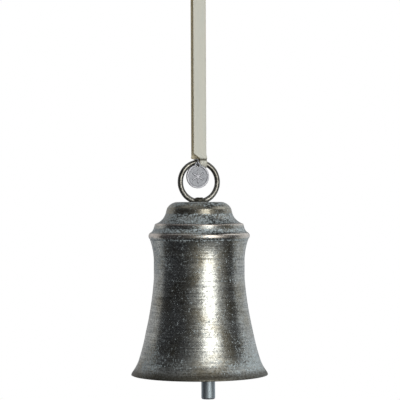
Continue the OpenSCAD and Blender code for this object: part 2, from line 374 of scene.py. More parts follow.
def ring_look(box):
    """Darkened drawn wire with a mottled bloom that grows towards the brazed end."""
    look = Look("ring_metal")
    grain = look.noise(look.place(), 1.1, detail=7, roughness=0.72)
    fine = look.noise(look.place(), 4.0, detail=4, roughness=0.6)
    height = look.height()
    lower = look.ramp(height, box.low.z / MM + 2.0, box.middle.z / MM + 4.0, 1.0, 0.0)
    metal = look.mix(look.ramp(grain, 0.38, 0.62), RING_DARK, RING_BRIGHT)
    bloom = look.times(lower, look.ramp(fine, 0.46, 0.6))
    colour = look.mix(look.times(bloom, 0.8), metal, RING_BLOOM)
    roughness = look.plus(look.ramp(grain, 0.3, 0.7, 0.08, 0.17), look.times(bloom, 0.35))
    return look.set(Base_Color=colour, Metallic=look.ramp(bloom, 0.0, 1.0, 1.0, 0.4), Roughness=roughness,
                    Normal=look.bump(look.plus(fine, grain), 0.045 * MM, 0.8))


def braze_look():
    """Dark filler metal."""
    look = Look("braze")
    grain = look.noise(look.place(), 1.3, detail=8, roughness=0.75)
    colour = look.mix(look.ramp(grain, 0.38, 0.66), BRAZE_DARK, BRAZE_BRIGHT)
    return look.set(Base_Color=colour, Metallic=0.8, Roughness=look.ramp(grain, 0.3, 0.7, 0.4, 0.7),
                    Normal=look.bump(grain, 0.12 * MM, 0.8))


def wire_look():
    """Bright drawn wire with fine die lines."""
    look = Look("inner_wire")
    grain = look.noise(look.place(), 2.0, detail=5, roughness=0.6)
    spots = look.noise(look.place(shift=(4, 4, 4)), 0.8, detail=4)
    colour = look.mix(look.ramp(grain, 0.35, 0.7), WIRE_DARK, WIRE_BRIGHT)
    colour = look.mix(look.ramp(spots, 0.6, 0.7, 0.0, 0.6), colour, WIRE_STAIN)
    return look.set(Base_Color=colour, Metallic=1.0, Roughness=look.ramp(grain, 0.3, 0.7, 0.22, 0.36),
                    Normal=look.bump(grain, 0.02 * MM, 0.5))


def rod_look(bottom_z):
    """Blue-grey satin bar with lengthwise streaks, a little darker at the cut end."""
    look = Look("clapper_steel")
    streaks = look.noise(look.place((1.6, 1.6, 0.05)), detail=5, roughness=0.6)
    grain = look.noise(look.place(), 3.2, detail=5, roughness=0.7)
    stains = look.noise(look.place(shift=(9, 2, 5)), 0.25, detail=5)
    colour = look.mix(look.ramp(streaks, 0.35, 0.68), ROD_DARK, ROD_BRIGHT)
    colour = look.mix(look.ramp(stains, 0.55, 0.72, 0.0, 0.5), colour, ROD_STAIN)
    height = look.height()
    end = look.ramp(height, bottom_z / MM, bottom_z / MM + 0.9, 0.6, 0.0)
    colour = look.mix(end, colour, ROD_END)
    return look.set(Base_Color=colour, Metallic=0.8, Roughness=look.ramp(grain, 0.3, 0.7, 0.40, 0.56),
                    Normal=look.bump(look.plus(streaks, grain), 0.02 * MM, 0.5))


def charm_look():
    """Silvery cast metal, darker in the recess."""
    look = Look("charm_metal")
    grain = look.noise(look.place(), 2.6, detail=6, roughness=0.7)
    clouds = look.noise(look.place(shift=(2, 8, 1)), 0.45, detail=3)
    colour = look.mix(look.ramp(clouds, 0.35, 0.65), CHARM_DARK, CHARM_BRIGHT)
    recess = look.times(look.attribute("hollow"), look.ramp(grain, 0.3, 0.65, 0.72, 0.48))
    colour = look.mix(recess, colour, CHARM_RECESS)
    return look.set(Base_Color=colour, Metallic=0.85, Roughness=look.ramp(grain, 0.3, 0.7, 0.36, 0.50),
                    Normal=look.bump(grain, 0.02 * MM, 0.5))


def ribbon_look():
    """Ivory satin with a dull golden back, fine threads along it with painted shade between them, a firmer
    selvedge and a painted shadow under the pinch.
    """
    look = Look("ribbon")
    weave = look.add("UVMap", uv_map="weave")
    across = look.add("SeparateXYZ", "X", inputs={"Vector": weave})
    along = look.add("SeparateXYZ", "Y", inputs={"Vector": weave})
    warp = look.math("SINE", look.times(across, TAU / WARP_PITCH))
    weft = look.math("SINE", look.times(along, TAU / WEFT_PITCH))
    stretched = look.add("Mapping", inputs={"Vector": weave, "Scale": (5.0, 0.25, 1.0)})
    slubs = look.noise(stretched, detail=4, roughness=0.6)
    soft = look.noise(look.add("Mapping", inputs={"Vector": weave, "Scale": (0.35, 0.03, 1.0)}), detail=2)
    shade = look.ramp(soft, 0.35, 0.65)
    face = look.mix(shade, FACE_COOL, FACE_WARM)
    back = look.mix(shade, BACK_DARK, BACK_BRIGHT)
    colour = look.mix(look.attribute("outer"), back, face)
    colour = look.mix(look.ramp(slubs, 0.35, 0.7, 0.0, 0.35), colour, SLUB)
    colour = look.mix(look.times(look.attribute("edge"), 0.35), colour, SELVEDGE)
    crease = look.ramp(look.attribute("crease"), 0.15, 0.7, 0.0, 0.95)
    colour = look.mix(crease, colour, CREASE_SHADE)
    threads = look.plus(look.times(warp, 0.35), look.times(weft, 0.12))
    # Painted shade between the threads
    colour = look.mix(look.ramp(threads, -0.47, 0.47, 0.22, 0.0), colour, THREAD_GAP_SHADE)
    height = look.plus(threads, look.times(slubs, 0.8))
    return look.set(Base_Color=colour, Roughness=look.ramp(slubs, 0.3, 0.7, 0.46, 0.62), Sheen_Weight=0.25,
                    Sheen_Roughness=0.4, Specular_IOR_Level=0.35,
                    Normal=look.bump(height, 0.03 * MM, 0.55))


def thread_look():
    """Twisted sewing thread, with painted shade in the twist's grooves and painted light on its crests."""
    look = Look("thread")
    coords = look.place()
    x = look.add("SeparateXYZ", "X", inputs={"Vector": coords})
    z = look.add("SeparateXYZ", "Z", inputs={"Vector": coords})
    twist = look.math("SINE", look.times(look.plus(x, z), TAU / TWIST_PITCH))
    # Painted shade in the twist's grooves, painted light on its crests
    colour = look.mix(look.ramp(twist, -1, 1), THREAD_SHADED, THREAD_LIT)
    return look.set(Base_Color=colour, Roughness=0.75, Sheen_Weight=0.3,
                    Normal=look.bump(twist, 0.03 * MM, 0.6))


# ---- ribbon

STRAND_Y = 1.65 * MM  # from the middle of the loop to each strand
FOLD_X = 1.7 * MM
FOLD_Z = -92.32 * MM
FOLD_R = 2.0 * MM  # centre line of the fold round the ring's wire
TOP_Z = -1.45 * MM
STRAIGHT_Z = -89.3 * MM  # both strands hang straight above this
FRONT_SPREAD = (-90.5 * MM, -87.4 * MM)  # the bunched ribbon opens out between these heights,
BACK_SPREAD = (-91.3 * MM, -90.1 * MM)  # which leaves room for the jump ring's swing
RIBBON_W = 6.35 * MM
RIBBON_T = 0.3 * MM
FOLD_W = 3.4 * MM
LAP_TOP = -4.0 * MM
LAP_LOW = -12.5 * MM
LAP_END = -14.5 * MM  # the outer layer of the lap is back in line here
LAP_OFFSET = 0.36 * MM
PLEATS = 2.5
PLEAT_DEPTH = 0.42 * MM
CREASE_Z = -90.75 * MM  # the cloth is pinched here and hangs over the pinch
CREASE_H = 0.48 * MM  # half the height of the pinch
OVERHANG = 0.30 * MM
LIP_PLACE, LIP_WIDTH = 1.9, 1.2  # where the cloth hangs over the pinch, in units of CREASE_H above it
PINCH_DEPTH = 0.15 * MM
WAVE_REACH = 14 * MM  # a strand is wavy this far up from where it opens out
WAVE_DEPTH = 0.07 * MM
CURL_DEPTH = 0.10 * MM  # the edges of an open strand stand outwards
SELVEDGE_W = 0.35  # in millimetres
COLUMNS = 37
COARSE_STEP, FINE_STEP = 0.55 * MM, 0.16 * MM  # between the cloth's rows
ROUTE_STEP = math.radians(15)
STITCHES = 5  # in each row
STITCH_R = 0.13 * MM
STITCH_L = 0.7 * MM
STITCH_DIP, STITCH_RISE = -1.6, 1.0  # heights of its ends and its middle over the cloth, in STITCH_R
ROW_INSET = 0.15 * MM


def arc_route(x, z, radius, start, end):
    """Points of an arc in a plane across X, with the angle from +Y towards +Z, in degrees."""
    start, end = math.radians(start), math.radians(end)
    steps = round(abs(end - start) / ROUTE_STEP)
    angles = [between(start, end, i / steps) for i in range(steps + 1)]
    return [Vector((x, radius * math.cos(a), z + radius * math.sin(a))) for a in angles]


def strand_route(y, start, end):
    return [Vector((0, y, between(start, end, i / 8))) for i in range(9)]


def ribbon_route():
    """Centre line of the whole loop, from the fold under the ring and back to it."""
    return (arc_route(FOLD_X, FOLD_Z, FOLD_R, -90, 0)
            + strand_route(STRAND_Y, STRAIGHT_Z, TOP_Z - 1 * MM)
            + arc_route(0, TOP_Z, STRAND_Y, 0, 180)
            + strand_route(-STRAND_Y, TOP_Z - 1 * MM, STRAIGHT_Z)
            + arc_route(FOLD_X, FOLD_Z, FOLD_R, 180, 270))


def ribbon_stations():
    """(point, outward direction) along the cloth, from its outer end in the lap to its inner end there."""
    out_back, out_front = Vector((0, 1, 0)), Vector((0, -1, 0))
    fine_top = STRAIGHT_Z + 3 * MM
    stations = []

    def straight(y_of, start, end, outward, step):
        count = max(2, round(abs(end - start) / step))
        for i in range(count):
            z = between(start, end, i / count)
            stations.append((Vector((0, y_of(z), z)), outward))

    def bend(z, radius, start, end, count):
        for i in range(count):
            a = math.radians(between(start, end, i / count))
            outward = Vector((0, math.cos(a), math.sin(a)))
            stations.append((Vector((0, 0, z)) + outward * radius, outward))

    def to_fold(z):
        return smooth((STRAIGHT_Z - z) / (STRAIGHT_Z - FOLD_Z))

    def back_y(z):
        in_lap = smooth((z - LAP_END) / (LAP_LOW - LAP_END))
        return STRAND_Y + LAP_OFFSET * in_lap + (FOLD_R - STRAND_Y) * to_fold(z)

    def front_y(z):
        return -between(STRAND_Y, FOLD_R, to_fold(z))

    straight(back_y, LAP_TOP, fine_top, out_back, COARSE_STEP)
    straight(back_y, fine_top, FOLD_Z, out_back, FINE_STEP)
    bend(FOLD_Z, FOLD_R, 0, -180, 48)
    straight(front_y, FOLD_Z, fine_top, out_front, FINE_STEP)
    straight(front_y, fine_top, TOP_Z, out_front, COARSE_STEP)
    bend(TOP_Z, STRAND_Y, 180, 0, 28)
    straight(lambda z: STRAND_Y, TOP_Z, LAP_LOW, out_back, COARSE_STEP)
    return stations


def pinch_and_lip(z, outward):
    """How much a strand is pinched at height z, from 0 to 1, and how far it hangs over the pinch."""
    if abs(outward.y) <= 0.9:
        return 0.0, 0.0  # in the bends
    above = (z - CREASE_Z) / CREASE_H
    return math.exp(-above * above), OVERHANG * math.exp(-((above - LIP_PLACE) / LIP_WIDTH) ** 2)


def ribbon_section(centre, outward, travelled):
    """Points across the middle of the cloth at one station, and how much it is pinched there."""
    spread_low, spread_high = FRONT_SPREAD if outward.y < 0 else BACK_SPREAD
    open_share = smooth((centre.z - spread_low) / (spread_high - spread_low))
    near_fold = smooth(1 - (centre.z - spread_low) / WAVE_REACH)
    left = between(FOLD_X - FOLD_W / 2, -RIBBON_W / 2, open_share)
    right = between(FOLD_X + FOLD_W / 2, RIBBON_W / 2, open_share)
    pinch, lip = pinch_and_lip(centre.z, outward)
    section = []
    for column in range(COLUMNS):
        share = column / (COLUMNS - 1)
        # Pleats stand outwards only, because the ring's wire turns inside the fold
        pleat = 0.5 - 0.5 * math.cos(TAU * PLEATS * share)
        depth = PLEAT_DEPTH * (1 - open_share) * between(0.55, 1.0, share)
        crumple = rough((share * 4 * MM, outward.y * MM, travelled * 0.12), 1.0 * MM, 3.1)
        wave = WAVE_DEPTH * near_fold * open_share * crumple
        curl = CURL_DEPTH * (2 * share - 1) ** 2 * open_share
        out = between(pleat * depth, 0.0, pinch) + wave + curl + lip - PINCH_DEPTH * pinch
        section.append(Vector((between(left, right, share), centre.y, centre.z)) + outward * out)
    return section, pinch


def cloth_half(share):
    """Half the cloth's thickness. It thins out to its cut edges, inside a slightly thicker selvedge."""
    rim = min(share, 1 - share) * RIBBON_W
    return RIBBON_T / 2 * (0.8 + 0.3 * math.exp(-((rim - 0.25 * MM) / (0.16 * MM)) ** 2))


def band_faces(rows, columns):
    """Faces of a band with two sides, two edges and two ends. The inner side's points follow the outer's."""
    count = rows * columns
    faces = grid_faces(rows, columns, False) + grid_faces(rows, columns, False, count)
    for i in range(rows - 1):
        for j in (0, columns - 1):
            a, b = i * columns + j, (i + 1) * columns + j
            faces.append((a, b, b + count, a + count))
    for i in (0, rows - 1):
        for j in range(columns - 1):
            a = i * columns + j
            faces.append((a, a + 1, a + 1 + count, a + count))
    return faces


def make_ribbon():
    """The folded satin band, pleated where it is bunched around the ring."""
    outer, inner, uvs, creases = [], [], [], []
    stations = ribbon_stations()
    travelled, previous = 0.0, stations[0][0]
    for centre, outward in stations:
        travelled += (centre - previous).length
        previous = centre
        section, pinch = ribbon_section(centre, outward, travelled)
        for column, middle in enumerate(section):
            share = column / (COLUMNS - 1)
            half = cloth_half(share)
            outer.append(middle + outward * half)
            inner.append(middle - outward * half)
            uvs.append((share * RIBBON_W / MM, travelled / MM))
            creases.append(pinch)
    count = len(outer)
    ribbon = mesh_piece("ribbon", outer + inner, band_faces(len(stations), COLUMNS))
    layer = ribbon.data.uv_layers.new(name="weave")
    for loop in ribbon.data.loops:
        layer.data[loop.index].uv = uvs[loop.vertex_index % count]
    selvedge = [math.exp(-(min(uv[0], RIBBON_W / MM - uv[0]) / SELVEDGE_W) ** 2) for uv in uvs]
    paint(ribbon, "outer", [1.0] * count + [0.0] * count)
    paint(ribbon, "edge", selvedge * 2)
    paint(ribbon, "crease", creases * 2)
    route = ribbon_route()
    length = sum((b - a).length for a, b in zip(route, route[1:]))
    finish_piece(ribbon, "hanger", "ribbon", ribbon_look(), "ribbon_loop")
    return ribbon, route, length


def stitch_line(x, y, z, tilt):
    """Centre line of one stitch, which dips into the cloth at both ends."""
    line = []
    for k in range(11):
        t = k / 10
        height = STITCH_R * between(STITCH_DIP, STITCH_RISE, math.sin(math.pi * t))
        line.append(Vector((x + (t - 0.5) * STITCH_L * 1.2, y + height, z + tilt * (2 * t - 1))))
    return line


def make_stitches():
    """Two rows of stitches through the lap."""
    box = Box("ribbon_stitches")
    pitch = (box.size.x - STITCH_L) / (STITCHES - 1)
    cloth_y = STRAND_Y + LAP_OFFSET + RIBBON_T / 2
    points, faces = [], []
    for row, z in enumerate((box.low.z + ROW_INSET, box.high.z - ROW_INSET)):
        for i in range(STITCHES):
            x = box.low.x + STITCH_L / 2 + i * pitch
            tilt = 0.12 * MM * rough((x, row * MM, z), 1.3 * MM, 7.7)
            new_points, new_faces = tube_mesh(stitch_line(x, cloth_y, z, tilt), STITCH_R, 10, len(points))
            points += new_points
            faces += new_faces
    stitches = mesh_piece("ribbon_thread", points, faces)
    return finish_piece(stitches, "hanger", "thread", thread_look(), "ribbon_stitches")


# ---- bell

CREASE = math.radians(17)
NEAR_POINTS = 0.05 * MM  # outline points of the CAD mesh that are this close are one point
BEND_REACH = 0.8 * MM  # how far along the outline its bend is measured
BELL_SIDES = 240
OUTER_STEP, INNER_STEP = 0.42 * MM, 0.9 * MM  # between the rows of the bell's two sides
TOOL_PITCH = 1.27 * MM
WORN_LIT_BEND, WORN_LIT_RANGE = 0.28, 0.3  # an edge starts to be worn, with a painted highlight along it, at this bend, in 1/mm, over this range
HOLLOW_BEND, HOLLOW_RANGE = 0.04, 0.12
BRAZE_SINK = 0.25 * MM  # how far the braze reaches into the crown


def thinned(spots):
    """Spots from the top down, without near doubles."""
    kept = []
    for spot in sorted(spots, key=lambda spot: (-spot[1], spot[0])):
        if not kept or math.dist(spot, kept[-1]) > NEAR_POINTS:
            kept.append(spot)
    return kept


def cad_outlines():
    """Outside and inside of the CAD bell as (radius, height), both from the top down, and the inner boss."""
    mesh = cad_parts["bell_shell"].data
    near_axis = 5 * MM
    outside, inside, core = set(), set(), set()
    for face in mesh.polygons:
        middle, normal = face.center, face.normal
        radius = math.hypot(middle.x, middle.y)
        outward = (normal.x * middle.x + normal.y * middle.y) / max(radius, 1e-6)
        for index in face.vertices:
            point = mesh.vertices[index].co
            spot = (round(math.hypot(point.x, point.y), 6), round(point.z, 6))
            if spot[0] < near_axis:
                core.add(spot)
            elif outward > 0.02:
                outside.add(spot)
            elif outward < -0.02:
                inside.add(spot)
    boss_z = min(z for r, z in core)
    boss_r = max(r for r, z in core if z < boss_z + 0.1 * MM)
    return thinned(outside), thinned(inside), boss_r, boss_z


def round_out(outline, step):
    """The outline as a smooth curve, sampled every step, with its creases kept."""
    points = [Vector(p) for p in outline]
    count = len(points)
    sharp = [True] * count
    for i in range(1, count - 1):
        sharp[i] = (points[i] - points[i - 1]).angle(points[i + 1] - points[i]) > CREASE
    result = []
    for i in range(count - 1):
        p1, p2 = points[i], points[i + 1]
        p0 = points[i - 1] if not sharp[i] else p1 * 2 - p2
        p3 = points[i + 2] if not sharp[i + 1] else p2 * 2 - p1
        samples = max(1, round((p2 - p1).length / step))
        for k in range(samples):
            t = k / samples
            spot = 0.5 * (2 * p1 + (p2 - p0) * t + (2 * p0 - 5 * p1 + 4 * p2 - p3) * t * t
                          + (3 * p1 - p0 - 3 * p2 + p3) * t * t * t)
            result.append((spot.x, spot.y))
    result.append(tuple(points[-1]))
    return result


def bends(outline):
    """How sharply the outline bends at each point, in 1/m: positive where the metal stands out."""
    points = [Vector(p) for p in outline]
    result = []
    for i, point in enumerate(points):
        before = next((p for p in reversed(points[:i]) if (p - point).length >= BEND_REACH), None)
        after = next((p for p in points[i + 1:] if (p - point).length >= BEND_REACH), None)
        if before is None or after is None:
            result.append(0.0)
            continue
        a, b = point - before, after - point
        result.append(math.atan2(a.y * b.x - a.x * b.y, a.dot(b)) / ((a.length + b.length) / 2))
    return result


def bell_outline():
    """The bell's whole section as (radius, height), its rim's height and the count of its outer points."""
    outside, inside, boss_r, boss_z = cad_outlines()
    crown_z, rim_z = outside[0][1], outside[-1][1]
    outer_line = round_out(outside, OUTER_STEP)
    inner_line = round_out(list(reversed(inside)), INNER_STEP)
    under_z = inner_line[-1][1]
    top = [(0.0, crown_z), (2 * MM, crown_z), (5 * MM, crown_z)]
    edge = 0.3 * MM
    boss = [(boss_r + 5 * edge, under_z), (boss_r + edge, under_z), (boss_r, under_z - edge),
            (boss_r, boss_z + edge), (boss_r - edge, boss_z), (1.2 * MM, boss_z), (0.0, boss_z)]
    return top + outer_line + inner_line + boss, rim_z, len(top) + len(outer_line)


def make_bell():
    """The turned shell, whose outline is the CAD bell's own, smoothed."""
    outline, rim_z, outer_count = bell_outline()
    outer_rows = outer_count - 1

    def worked(angle, row, radius, height):
        """Tool lines, and the slight unevenness of a casting."""
        spot = Vector((radius * math.cos(angle), radius * math.sin(angle), height))
        streak = rough((spot.x * 0.03, spot.y * 0.03, height), 0.75 * MM, 1.0)
        groove = 0.010 * MM * streak + 0.006 * MM * math.sin(TAU * height / TOOL_PITCH + 2 * streak)
        uneven = 0.04 * MM * rough(spot, 9 * MM, 5.0) + 0.012 * MM * rough(spot, 1.1 * MM, 8.0)
        if row < outer_rows - 1:
            return radius + groove + uneven, height
        # The inside is rougher, and the rim stays level
        return radius + 2.5 * uneven + 0.03 * MM * streak, height + (0 if height < rim_z + 1 * MM else uneven)

    points, faces = lathe_mesh(outline, BELL_SIDES, Vector((0, 0, 0)), worked)
    bell = mesh_piece("bell", points, faces)

    bent = [bend * MM for bend in bends(outline[:outer_count])] + [0.0] * (len(outline) - outer_count)
    # Convex edges get wear and a painted highlight; hollows get the bloom, a dark patina and painted shade
    worn = [smooth((bend - WORN_LIT_BEND) / WORN_LIT_RANGE) for bend in bent]
    hollow = [smooth((-bend - HOLLOW_BEND) / HOLLOW_RANGE) for bend in bent]
    rows = [0] + [i for i in range(1, len(outline) - 1) for _ in range(BELL_SIDES)] + [len(outline) - 1]
    paint(bell, "worn", [worn[row] for row in rows])
    paint(bell, "hollow", [hollow[row] for row in rows])
    paint(bell, "inside", [0.0 if row <= outer_rows else 1.0 for row in rows])
    return finish_piece(bell, "bell", "bell_metal", bell_look(outline[0][1], rim_z), "bell_shell")


def make_ring():
    """The hanging ring: wire that was bent by hand, so it is not quite even."""
    box = Box("hanging_ring")
    wire_r = box.size.y / 2
    ring_r = (box.size.x - box.size.y) / 2
    points = []
    turns, sides = 200, 28
    for i in range(turns):
        a = TAU * i / turns
        way = Vector((math.sin(a), 0, math.cos(a)))
        for j in range(sides):
            b = TAU * j / sides
            outward = way * math.cos(b) + Vector((0, math.sin(b), 0))
            spot = box.middle + way * ring_r + outward * wire_r
            # Smooth and true at the top, where the ribbon and the jump ring hang on it
            wear = smooth((box.middle.z + 5 * MM - spot.z) / (4 * MM))
            bumps = 0.045 * MM * rough(spot, 1.6 * MM, 2.0) + 0.02 * MM * rough(spot, 0.5 * MM, 4.0)
            points.append(spot + outward * bumps * wear)
    faces = grid_faces(turns, sides, True)
    end = (turns - 1) * sides
    faces += [(end + j, end + (j + 1) % sides, (j + 1) % sides, j) for j in range(sides)]
    ring = mesh_piece("ring", points, faces)
    return finish_piece(ring, "bell", "ring_metal", ring_look(box), "hanging_ring")


def braze_outline(foot, low_z, high_z):
    """A concave foot, an upright side and a broad rounded top, as (radius, height) from the bottom up."""
    tall = high_z - low_z
    outline = [(0.0, low_z - BRAZE_SINK), (foot * 0.6, low_z - BRAZE_SINK),
               (foot - 0.1 * MM, low_z - BRAZE_SINK * 0.4)]
    shoulder = 0.72 * foot
    steps = 20
    for i in range(steps + 1):
        t = i / steps
        over = math.pi / 2 * smooth((t - 0.55) / 0.45)
        radius = between(foot, shoulder, smooth(t * 3.2)) - 0.34 * foot * (1 - math.cos(over))
        outline.append((radius, low_z + tall * between(0.02, 1.0, t) * (1.06 if t > 0.9 else 1.0)))
    outline.append((0.0, high_z + 0.15 * MM))
    return outline


def make_braze():
    """The lump of filler metal between the ring and the crown."""
    box = Box("crown_braze")

    def lumpy(angle, row, radius, height):
        spot = Vector((radius * math.cos(angle), radius * math.sin(angle), height))
        share = smooth((height - box.low.z) / box.size.z)
        lump = 0.32 * MM * rough(spot, 2.1 * MM, 1.4) + 0.10 * MM * rough(spot, 0.8 * MM, 6.0)
        rise = 0.35 * MM * rough(spot, 1.9 * MM, 9.0) * share
        return max(0.2 * MM, radius + lump * smooth(radius / (2 * MM))), height + rise

    outline = braze_outline(box.size.x / 2, box.low.z, box.high.z)
    points, faces = lathe_mesh(outline, 96, Vector((0, 0, 0)), lumpy)
    braze = mesh_piece("braze", points, faces)
    return finish_piece(braze, "bell", "braze", braze_look(), "crown_braze")


# ---- clapper and its chain

BUTT_GAP = math.radians(2.5)  # half of the seam where a bent ring's ends meet
JUMP_GAP = 1.5 * BUTT_GAP  # the same on the thin jump ring
LINK_SEAM = math.radians(200)  # on the side, away from the hook and the eye
EYE_GAP = math.radians(20)  # the eye's end stops this far short of its tail
HOOK_END = math.radians(20)  # the hook's end rises this far past level


def circle_line(centre, radius, axis_a, axis_b, start, end, steps):
    """Points of an arc about centre, with the angle from axis_a towards axis_b."""
    angles = [between(start, end, i / steps) for i in range(steps + 1)]
    return [centre + (axis_a * math.cos(a) + axis_b * math.sin(a)) * radius for a in angles]


def make_hook(material):
    """A wire hook that hangs from the boss under the crown."""
    box = Box("clapper_hook")
    wire_r = box.size.y / 2
    bend_r = (box.high.x + box.low.x) / 2
    bend_z = box.low.z + wire_r + bend_r
    shank = [Vector((0, 0, between(box.high.z - 0.3 * MM, bend_z, i / 10))) for i in range(10)]
    open_end = HOOK_END - 0.5 * wire_r / bend_r
    bend = circle_line(Vector((bend_r, 0, bend_z)), bend_r, X_WAY, Z_WAY, math.pi, TAU + open_end, 48)
    hook = tube_piece("hook", shank + bend, wire_r, 20)
    return finish_piece(hook, "bell", "inner_wire", material, "clapper_hook")


def make_link(material):
    """A wire ring, closed end to end, that joins the hook to the rod's eye."""
    box = Box("clapper_link")
    wire_r = box.size.x / 2
    bend_r = (box.size.y - box.size.x) / 2
    line = circle_line(box.middle, bend_r, Y_WAY, Z_WAY, LINK_SEAM + BUTT_GAP, LINK_SEAM + TAU - BUTT_GAP, 72)
    link = tube_piece("link", line, wire_r, 18)
    return finish_piece(link, "link", "inner_wire", material, "clapper_link")


def make_eye(material):
    """An eye bent from wire, whose tail runs down into the rod."""
    box = Box("clapper_eye")
    wire_r = box.size.y / 2
    bend_r = (box.size.x - box.size.y) / 2
    centre = Vector((box.middle.x, 0, box.high.z - wire_r - bend_r))
    down = 1.5 * math.pi
    bend = circle_line(centre, bend_r, X_WAY, Z_WAY, down - TAU + EYE_GAP, down, 60)
    tail_top, tail_end = centre.z - bend_r, box.low.z + 0.3 * MM
    tail = [Vector((box.middle.x, 0, between(tail_top, tail_end, i / 8))) for i in range(1, 9)]
    eye = tube_piece("eye", bend + tail, wire_r, 18)
    return finish_piece(eye, "clapper", "inner_wire", material, "clapper_eye")


def make_rod():
    """The rod, with broken edges, facing marks on its end and a few dings."""
    box = Box("clapper_rod")
    radius = box.size.x / 2
    top_z, end_z = box.high.z, box.low.z
    edge = 0.4 * MM
    mark = 0.03 * MM
    steps, rings = 110, 9
    outline = [(0.0, top_z), (0.9 * MM, top_z), (radius - 2 * edge, top_z), (radius - edge, top_z)]
    outline += [(radius, between(top_z - edge, end_z + edge, i / steps)) for i in range(steps + 1)]
    outline += [(radius - edge, end_z), (radius - edge - 0.1 * MM, end_z)]
    outline += [(between(radius - 2 * edge, 0.3 * MM, i / rings), end_z + (mark if i % 2 else 0.0))
                for i in range(rings + 1)]
    outline.append((0.0, end_z + mark))

    def worn(angle, row, r, z):
        spot = Vector((r * math.cos(angle), r * math.sin(angle), z))
        ding = max(0.0, rough(spot, 3.5 * MM, 12.0) - 0.62) * 0.5 * MM
        return r - ding - 0.008 * MM * (1 + rough((spot.x, spot.y, z * 0.1), 0.6 * MM, 2.0)), z

    points, faces = lathe_mesh(outline, 72, box.middle, worn)
    rod = mesh_piece("clapper_bar", points, faces)
    return finish_piece(rod, "clapper", "clapper_steel", rod_look(end_z), "clapper_rod")


# ---- charm

EAR_R = 1.6 * MM
EAR_HOLE_R = 0.8 * MM
RELIEF = 0.3 * MM
EDGE_W = 0.9 * MM
STAR_ARM = 3.1 * MM
STAR_W = 0.7 * MM
STAR_TURN = TAU / 6
CHARM_CELL = 0.075 * MM  # size of the charm's grid
SOFT_STEP = 0.14 * MM  # width of the slope up to its raised parts
CHARM_ROUND = 0.16 * MM  # radius of its outer edges


def make_jump_ring(material):
    """A long closed loop of wire round the hanging ring, with its seam behind."""
    box = Box("charm_jump_ring")
    wire_r = box.size.x / 2
    bend_r = (box.size.z - box.size.x) / 2
    front = Vector((box.middle.x, box.low.y + wire_r + bend_r, box.middle.z))
    back = Vector((box.middle.x, box.high.y - wire_r - bend_r, box.middle.z))
    quarter = math.pi / 2
    line = circle_line(back, bend_r, Y_WAY, Z_WAY, JUMP_GAP, quarter, 16)
    line += circle_line(front, bend_r, Y_WAY, Z_WAY, quarter, 3 * quarter, 32)
    line += circle_line(back, bend_r, Y_WAY, Z_WAY, -quarter, -JUMP_GAP, 16)
    jump = tube_piece("jump_ring", line, wire_r, 14)
    return finish_piece(jump, "bell", "charm_metal", material, "charm_jump_ring")


def charm_rise(spot, disc, ear, disc_r):
    """1 on the charm's raised edge and star, 0 on its plate."""
    out = spot - disc
    edge = smooth((out.length - disc_r + EDGE_W) / SOFT_STEP + 0.5)
    edge *= smooth(((spot - ear).length - EAR_R) / SOFT_STEP)  # flat under the jump ring
    turn = (math.atan2(out.x, out.y) + STAR_TURN / 2) % STAR_TURN - STAR_TURN / 2
    along, across = out.length * math.cos(turn), abs(out.length * math.sin(turn))
    star = smooth((STAR_ARM - along) / SOFT_STEP + 0.5) * smooth((STAR_W / 2 - across) / SOFT_STEP + 0.5)
    return max(edge, star)


def make_charm(material):
    """A cast disc with an ear, a raised edge and a plain six-armed star, all with soft edges.
    A grid covers its outline. The points on the grid's border are moved onto the outline."""
    box = Box("charm_disc")
    disc_r = box.size.x / 2
    disc = Vector((box.middle.x, box.low.z + disc_r))
    ear = Vector((box.middle.x, box.high.z - EAR_R))

    def beyond(spot):
        """Distance from the outline, less than 0 inside it."""
        outer = min((spot - disc).length - disc_r, (spot - ear).length - EAR_R)
        return max(outer, EAR_HOLE_R - (spot - ear).length)

    def moved_to_outline(spot):
        for _ in range(3):
            away = beyond(spot)
            slope = Vector([(beyond(spot + step) - away) / step.length for step in
                            (Vector((CHARM_CELL / 50, 0)), Vector((0, CHARM_CELL / 50)))])
            spot = spot - slope * away
        return spot

    def grid_spot(i, k):
        return Vector((box.low.x + i * CHARM_CELL, box.low.z + k * CHARM_CELL))

    columns = math.ceil(box.size.x / CHARM_CELL)
    rows = math.ceil(box.size.z / CHARM_CELL)
    cells = {(i, k) for i in range(columns) for k in range(rows) if beyond(grid_spot(i + 0.5, k + 0.5)) < 0}
    corners = sorted({(i + a, k + b) for i, k in cells for a in (0, 1) for b in (0, 1)})
    number = {corner: n for n, corner in enumerate(corners)}
    front_points, back_points, hollow = [], [], []
    for i, k in corners:
        around = sum((i - a, k - b) in cells for a in (0, 1) for b in (0, 1))
        spot = grid_spot(i, k) if around == 4 else moved_to_outline(grid_spot(i, k))
        depth = min(max(-beyond(spot), 0.0), CHARM_ROUND)
        fall = CHARM_ROUND - math.sqrt(CHARM_ROUND ** 2 - (CHARM_ROUND - depth) ** 2)
        up = charm_rise(spot, disc, ear, disc_r)
        bump = 0.02 * MM * rough((spot.x, 0, spot.y), 0.8 * MM, 3.0)
        front_points.append((spot.x, box.low.y + RELIEF * (1 - up) + fall + bump, spot.y))
        back_points.append((spot.x, box.high.y - fall - bump, spot.y))
        hollow.append(1 - up)

    faces = []
    behind = len(corners)
    for i, k in sorted(cells):
        ring = [number[i, k], number[i + 1, k], number[i + 1, k + 1], number[i, k + 1]]
        faces.append(tuple(ring))
        faces.append(tuple(behind + n for n in reversed(ring)))
        for side, beside in enumerate(((i, k - 1), (i + 1, k), (i, k + 1), (i - 1, k))):
            if beside not in cells:
                a, b = ring[side], ring[(side + 1) % 4]
                faces.append((b, a, behind + a, behind + b))
    charm = mesh_piece("charm", front_points + back_points, faces)
    paint(charm, "hollow", hollow + [0.0] * behind)
    return finish_piece(charm, "charm", "charm_metal", material, "charm_disc")


# ---- floor and light

